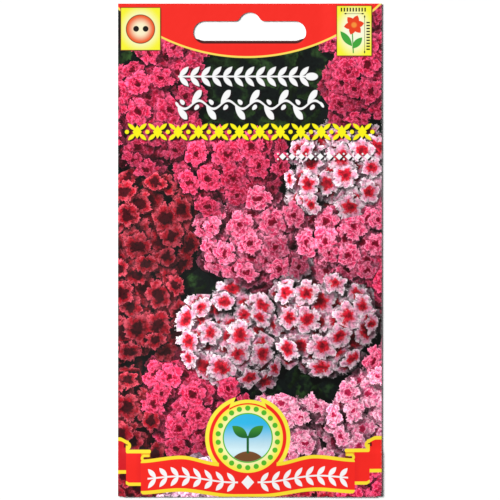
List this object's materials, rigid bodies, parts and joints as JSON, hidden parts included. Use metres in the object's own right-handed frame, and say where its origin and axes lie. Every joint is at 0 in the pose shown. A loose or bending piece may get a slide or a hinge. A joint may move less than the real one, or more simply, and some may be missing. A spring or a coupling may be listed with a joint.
{
  "type": "seed packet",
  "caption": "Flat paper seed packet, folded from one printed sheet and glued shut, with a hang slot through its header and loose seeds inside.",
  "frame": {"origin": "under the middle of the packet, at the level its back rests on", "axes": "+X to the right of the printed face, +Y towards the hang slot, +Z out of the printed face"},
  "size_m": [0.075, 0.14, 0.0028],
  "materials": {
    "printed_paper": "glossy printed coating outside, bare white paper inside",
    "dried_glue": "thin clear dried glue",
    "seed_coat": "dry matt seed coat"
  },
  "bodies": {
    "root": {"paper_envelope": "printed_paper", "side_seam_glue": "dried_glue", "bottom_seam_glue": "dried_glue", "top_seal_glue": "dried_glue", "seeds": "seed_coat"}
  },
  "joints": []
}
